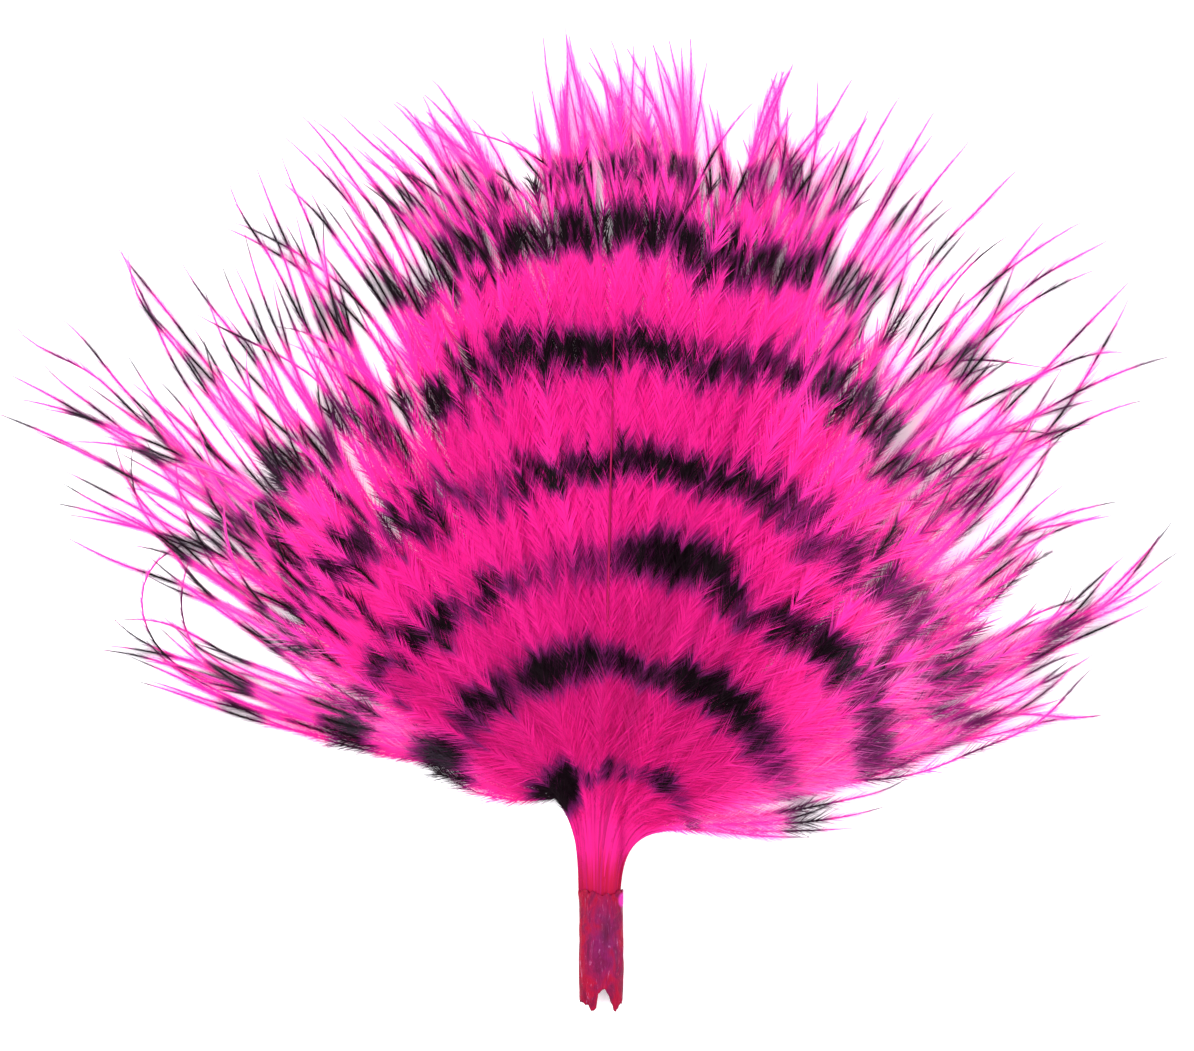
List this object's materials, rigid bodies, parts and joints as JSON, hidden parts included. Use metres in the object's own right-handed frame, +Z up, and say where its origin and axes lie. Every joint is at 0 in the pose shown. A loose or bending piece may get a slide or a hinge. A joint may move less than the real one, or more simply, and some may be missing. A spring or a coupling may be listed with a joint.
{
  "type": "marabou feather",
  "caption": "Short soft marabou feather, dyed hot pink with black bars, fanned out flat: a stubby sheathed quill with locks of downy barbs for trimming and craft work.",
  "frame": {"origin": "on the resting surface, under the neck, where the sheath ends and the barbs begin", "axes": "+Y runs up the shaft from the cut end towards the barb tips, +X to the feather's right seen from above, +Z up off the surface"},
  "size_m": [0.1177, 0.0973, 0.0073],
  "materials": {
    "dyed_barbs": "soft downy barbs, dyed hot pink and barred black"
  },
  "bodies": {
    "root": {"feather": "dyed_barbs"}
  },
  "joints": []
}
